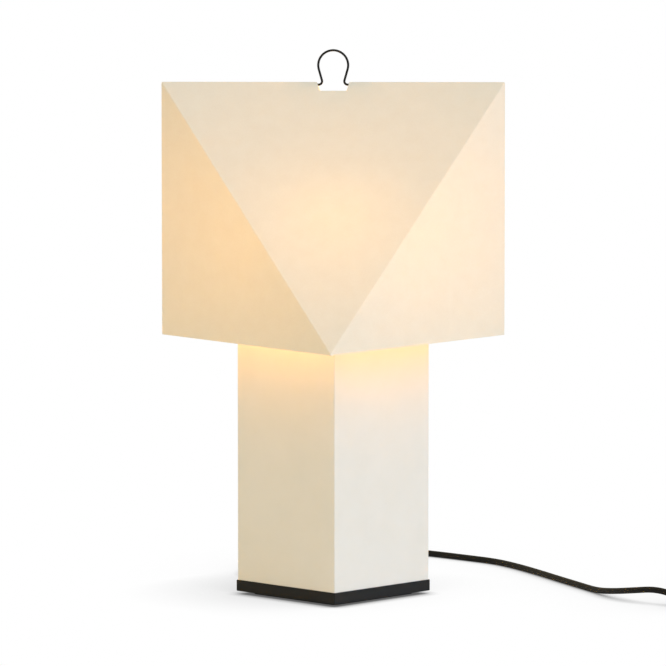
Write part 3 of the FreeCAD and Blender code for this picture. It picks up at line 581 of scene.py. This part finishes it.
def coilPoints():
    # half turns that spiral in on the table, climb, and spiral out on top
    points = []
    at = Vector((coil["x"] + coil["radius"], coil["y"], coil["low"]))
    side = 1
    bend = math.pi / coil["perHalf"]
    outward = 4 / (3 + math.cos(bend))
    for count in (0, 1, 2, 3, 4, 3, 2, 1):
        radius = coil["radius"] - count * coil["step"] / 2
        centre = at - Vector((side * radius, 0, 0))
        rise = coil["step"] if count == 4 else 0
        for i in range(coil["perHalf"]):
            turn = bend * (i + 0.5)
            reach = radius * outward * side
            x, y = reach * math.cos(turn), reach * math.sin(turn)
            lift = rise * (1 - math.cos(turn)) / 2
            points.append(centre + Vector((x, y, lift)))
        at = at + Vector((-2 * side * radius, 0, rise))
        side = -side
    return points


topOfCoil = coil["low"] + coil["step"]
end = plug["face"] - plug["long"] + plug["grip"]
tailRoute = [
    Vector((plug["x"], coil["y"] + cordThick, topOfCoil)),
    Vector((plug["x"], coil["y"] + 26, topOfCoil)),
    Vector((plug["x"], end - 26, plug["z"])),
    Vector((plug["x"], end, plug["z"])),
]

cordRun = layCord("cordToSwitch", [p * mm for p in runRoute], "cord_run")
farPoints = linkRoute + coilPoints() + tailRoute
cordFar = layCord(
    "cordToPlug", [p * mm for p in farPoints], "cord_link", "cord_coil", "cord_tail"
)
print("cords laid")


# Strain relief of the gland: a flange and a tapered sleeve with grooves


def makeBoot():
    boot = {
        "fromAxis": 67.8,
        "high": 32,
        "bore": 3.3,
        "barrel": 6,
        "inside": -10.5,
        "flange": 9,
        "face": 2.5,
        "long": 20,
        "thick": 5.8,
        "thin": 4.2,
        "grooves": 6,
        "grooveDeep": 0.7,
    }
    bore = boot["bore"]
    flange = boot["flange"]
    face = boot["face"]
    tip = face + boot["long"]

    def radiusAt(height):
        growth = boot["thin"] - boot["thick"]
        return boot["thick"] + growth * (height - face) / boot["long"]

    profile = [(bore, boot["inside"]), (boot["barrel"], boot["inside"]), (boot["barrel"], -0.05)]
    profile += [(flange - 0.4, 0), (flange, 0.4), (flange, 1.4), (flange - 0.3, 1.8)]
    profile += [(7.4, face), (6.1, face + 0.1)]
    pitch = (boot["long"] - 3) / boot["grooves"]
    for i in range(boot["grooves"]):
        start = face + 1 + i * pitch
        for share, deep in ((0, 0), (0.55, 0), (0.68, 1), (0.88, 1)):
            height = start + share * pitch
            profile.append((radiusAt(height) - deep * boot["grooveDeep"], height))
    profile += [(4.25, tip - 1.8), (boot["thin"], tip - 0.3), (3.9, tip)]
    profile += [(bore, tip), (bore, boot["inside"])]

    outward = Matrix.Rotation(math.radians(45), 4, "Z") @ Matrix.Rotation(math.radians(-90), 4, "X")
    aside = boot["fromAxis"] * mm * math.sqrt(0.5)
    place = Matrix.Translation((-aside, aside, boot["high"] * mm)) @ outward
    mesh = turned("glandBoot", [(r * mm, h * mm) for r, h in profile], place, 48)
    made = newPiece("glandBoot", mesh, blackNylon, "lamp", "cord_gland")


makeBoot()


# Strap round the coil


def makeStrap():
    strap = {"thick": 1.0, "round": 2.95, "turns": 9, "edge": 0.25, "rounded": 0.3, "back": 0.7}
    low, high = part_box("coil_tie")
    middleY, middleZ = (low[1] + high[1]) / 2, (low[2] + high[2]) / 2
    halfY, halfZ = (high[1] - low[1]) / 2, (high[2] - low[2]) / 2
    inner = strap["round"] * mm

    def loop(grow):
        # the strap's path: a rectangle with round corners, grow inside the outer skin
        radius = inner + strap["thick"] * mm - grow
        points = []
        for corner in range(4):
            cornerY = middleY + (halfY - grow - radius) * (1 if corner in (0, 3) else -1)
            cornerZ = middleZ + (halfZ - grow - radius) * (1 if corner in (0, 1) else -1)
            for i in range(strap["turns"]):
                turn = math.pi / 2 * (corner + i / (strap["turns"] - 1))
                y = cornerY + radius * math.cos(turn)
                points.append((y, cornerZ + radius * math.sin(turn)))
        return points

    left, right = low[0], high[0]
    edge, rounded, back = strap["edge"] * mm, strap["rounded"], strap["back"]
    outer = [(left, rounded), (left + edge, 0), (right - edge, 0), (right, rounded)]
    rings = []
    for x, grow in outer + [(right, back), (left, back)]:
        rings.append([(x, y, z) for y, z in loop(grow * mm)])
    rings.append(rings[0])
    mesh = fromRings("coilStrap", rings, capped=False)
    made = newPiece("coilStrap", mesh, strapCloth, "lamp", "coil_tie")
    return made


strapPiece = makeStrap()


# Plug: a moulded body with grip ridges and a ribbed sleeve, and two pins that are
# covered near the body


def makePlug():
    # distance behind the face, half width, half thickness, squareness
    stations = [
        (0.0, 15.6, 5.0, 4.0),
        (0.35, 16.4, 5.9, 4.0),
        (1.2, 17.1, 6.6, 4.0),
        (2.4, 17.5, 6.85, 4.0),
        (8.0, 17.5, 6.85, 4.0),
        (12.0, 17.3, 6.75, 3.6),
        (16.5, 16.4, 6.5, 3.2),
        (21.0, 14.0, 6.35, 3.0),
        (25.5, 11.2, 6.3, 2.8),
        (30.0, 8.6, 6.2, 2.4),
        (33.0, 7.1, 6.1, 2.2),
        (34.5, 6.5, 6.05, 2.0),
    ]
    ribs = {"count": 5, "first": 35.2, "pitch": 3.1, "thick": 5.95, "thin": 4.4, "long": 17}
    for i in range(ribs["count"]):
        start = ribs["first"] + i * ribs["pitch"]
        wide = ribs["thick"] - (ribs["thick"] - ribs["thin"]) * (start - 35) / ribs["long"]
        for more, less in ((0, 0), (1.6, 0.05), (1.9, 0.75), (2.8, 0.8)):
            stations.append((start + more, wide - less, wide - less, 2.0))
    stations += [(51.0, 4.2, 4.2, 2.0), (51.8, 4.1, 4.1, 2.0), (52.0, 3.5, 3.5, 2.0)]
    hollow = {"near": 9, "far": 24, "flank": 0.3, "share": 0.97}
    steps = 40
    centre = Vector((plug["x"], plug["face"], plug["z"]))
    rings = []
    for back, wide, thick, square in stations:
        ring = []
        for i in range(steps):
            turn = 2 * math.pi * i / steps
            across, up = math.cos(turn), math.sin(turn)
            x = math.copysign(abs(across) ** (2 / square), across) * wide
            z = math.copysign(abs(up) ** (2 / square), up) * thick
            # a shallow hollow across each broad side to hold it by
            if hollow["near"] < back < hollow["far"] and abs(up) > hollow["flank"]:
                z *= hollow["share"]
            ring.append((centre + Vector((x, -back, z))) * mm)
        rings.append(ring)
    mesh = fromRings("plugShell", rings)
    body = newPiece("plugShell", mesh, blackNylon, "lamp", "plug_body")

    pinFromMiddle = 9.5
    pinSteps = 28
    pins = bmesh.new()
    sleeves = bmesh.new()
    for side in (1, -1):
        base = Vector((plug["x"] + side * pinFromMiddle, plug["face"], plug["z"]))
        parts = (
            (pins, [(0, -5.8), (2, -5.8), (2, 18.0), (1.85, 18.5), (1.4, 18.9), (0.7, 19), (0, 19)]),
            (sleeves, [(1.98, 9.9), (2.06, 9.8), (2.08, 9.5), (2.08, -2)]),
        )
        for shape, profile in parts:
            rows = []
            for radius, ahead in profile:
                ring = []
                for i in range(pinSteps):
                    turn = 2 * math.pi * i / pinSteps
                    spot = base + Vector((radius * math.cos(turn), ahead, radius * math.sin(turn)))
                    ring.append(shape.verts.new(spot * mm))
                rows.append(ring)
            for one, two in zip(rows, rows[1:]):
                for i in range(pinSteps):
                    j = (i + 1) % pinSteps
                    shape.faces.new((one[i], one[j], two[j], two[i]))
    made = []
    for name, shape, material, stands, slot in (
        ("plugPins", pins, capNickel, ["plug_pins"], "zinc_steel"),
        ("plugPinSleeves", sleeves, blackNylon, [], "black_plastic"),
    ):
        bmesh.ops.remove_doubles(shape, verts=shape.verts, dist=1e-6)
        bmesh.ops.recalc_face_normals(shape, faces=shape.faces)
        mesh = bpy.data.meshes.new(name)
        shape.to_mesh(mesh)
        shape.free()
        mesh.shade_smooth()
        mesh.set_sharp_from_angle(angle=math.radians(40))
        piece = newPiece(name, mesh, material, "lamp", *stands)
        made.append(piece)
    return [body, *made]


plugPieces = makePlug()
print("plug, strap and boot made")


# Floor, light and camera


def makeStudio():
    room = {
        "half": 40,
        "floor": "#f7f7f7",
        "under": 0.1 * mm,
        # how far each painted shadow reaches, the side its imagined light comes from, how open the
        # floor is where it is darkest and where it ends, and the light left where it is darkest
        "paintedShadows": ((0.125, (0.5, -0.5, 0.7), 0.35, 1, 0.7), (0.014, (0, 0, 1), 0, 1, 0.12)),
        "rays": 12,
        "fill": (0.68, 0.61, 0.425, 1),
        "window": (0.84, 1.34, 2.2, 1),
        "windowAt": (0.72, -0.44, 0.537),
        "windowSoft": 6,
    }
    shape = bmesh.new()
    bmesh.ops.create_grid(shape, x_segments=1, y_segments=1, size=room["half"])
    mesh = bpy.data.meshes.new("studioFloor")
    shape.to_mesh(mesh)
    shape.free()
    mesh.transform(Matrix.Translation((0, 0, -room["under"])))
    floor = bpy.data.objects.new("studioFloor", mesh)
    bpy.context.scene.collection.objects.link(floor)
    made, tree = newMaterial("studioFloorPaper")
    toCamera = add(tree, "LightPath").outputs["Is Camera Ray"]
    below = add(tree, "NewGeometry").outputs["Backfacing"]
    plain = add(tree, "BsdfDiffuse", {"Color": linear(room["floor"])})
    # Painted shadow: camera rays see the floor as an emission dimmed by ambient occlusion, not
    # shaded by any lamp.
    strength = []
    for reach, facing, least, most, deep in room["paintedShadows"]:
        side = add(tree, "CombineXYZ", {"X": facing[0], "Y": facing[1], "Z": facing[2]}).outputs[0]
        seen = {"Distance": reach, "Normal": side}
        sky = add(tree, "AmbientOcclusion", seen, samples=room["rays"]).outputs["AO"]
        mapped = {"Value": sky, "From Min": least, "From Max": most, "To Min": deep}
        strength.append(add(tree, "MapRange", mapped).outputs[0])
    shadow = add(tree, "Math", {0: strength[0], 1: strength[1]}, operation="MULTIPLY").outputs[0]
    bright = add(tree, "Emission", {"Strength": shadow})
    both = add(tree, "MixShader", {"Fac": toCamera, 1: plain.outputs[0], 2: bright.outputs[0]})
    clear = add(tree, "BsdfTransparent")  # so that the foot shows from below
    oneSided = add(tree, "MixShader", {"Fac": below, 1: both.outputs[0], 2: clear.outputs[0]})
    finishWith(tree, oneSided.outputs[0])
    mesh.materials.append(made)

    # Warm light from all round, and a large cool window high up on the right.
    world = bpy.data.worlds.new("studio")
    bpy.context.scene.world = world
    world.use_nodes = True
    tree = world.node_tree
    tree.nodes.clear()
    where = add(tree, "TexCoord").outputs["Generated"]
    toWindow = {0: where, 1: room["windowAt"]}
    facing = add(tree, "VectorMath", toWindow, operation="DOT_PRODUCT").outputs["Value"]
    ahead = add(tree, "Math", {0: facing, 1: 0}, operation="MAXIMUM").outputs[0]
    near = add(tree, "Math", {0: ahead, 1: room["windowSoft"]}, operation="POWER").outputs[0]
    fill = add(tree, "Background", {"Color": room["fill"]})
    window = add(tree, "Background", {"Color": room["window"], "Strength": near})
    light = add(tree, "AddShader", {0: fill.outputs[0], 1: window.outputs[0]})
    white = add(tree, "Background", {"Color": (1, 1, 1, 1)})
    toCamera = add(tree, "LightPath").outputs["Is Camera Ray"]
    both = add(tree, "MixShader", {"Fac": toCamera, 1: light.outputs[0], 2: white.outputs[0]})
    add(tree, "OutputWorld", {"Surface": both.outputs[0]})


def makeBulbLight():
    # The light of the bulb leaves from just outside its globe, which shows its own softer light.
    bulb = {"outside": 1 * mm, "radiance": 44, "colour": "#ffc772"}
    low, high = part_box("bulb_globe")
    radius = (high[0] - low[0]) / 2 + bulb["outside"]
    lamp = bpy.data.lights.new("bulbLight", "POINT")
    lamp.shadow_soft_size = radius
    lamp.use_soft_falloff = False
    lamp.energy = bulb["radiance"] * (2 * math.pi * (radius - bulb["outside"])) ** 2
    lamp.color = linear(bulb["colour"])[:3]
    spot = bpy.data.objects.new("bulbLight", lamp)
    spot.location = (0, 0, high[2] - radius + bulb["outside"])
    spot.visible_camera = False
    bpy.context.scene.collection.objects.link(spot)
    unlit = bpy.data.collections.new("globeKeepsItsOwnLight")
    unlit.objects.link(nodes["bulb_globe"])
    unlit.collection_objects[0].light_linking.link_state = "EXCLUDE"
    spot.light_linking.receiver_collection = unlit


def makeCamera():
    # a long lens from far away, so that the lamp's upright edges stay parallel
    shot = {
        "away": 6.45,
        "down": 0.1034,
        "turn": -0.0128,
        "aim": (-0.0002, 0, 0.2631),
        "wide": 0.666,
        "film": 36,
        "farEnd": 200,
    }
    lens = bpy.data.cameras.new("camera")
    camera = bpy.data.objects.new("camera", lens)
    bpy.context.scene.collection.objects.link(camera)
    lens.sensor_width = shot["film"]
    lens.lens = shot["film"] * shot["away"] / shot["wide"]
    lens.clip_end = shot["farEnd"]
    tilt = Matrix.Rotation(math.pi / 2 - shot["down"], 4, "X")
    turn = Matrix.Rotation(shot["turn"], 4, "Z") @ tilt
    back = Matrix.Translation((0, 0, shot["away"]))
    camera.matrix_world = Matrix.Translation(shot["aim"]) @ turn @ back
    bpy.context.scene.camera = camera


makeStudio()
makeBulbLight()
makeCamera()
bpy.context.scene.view_settings.view_transform = "Standard"
print("studio made")
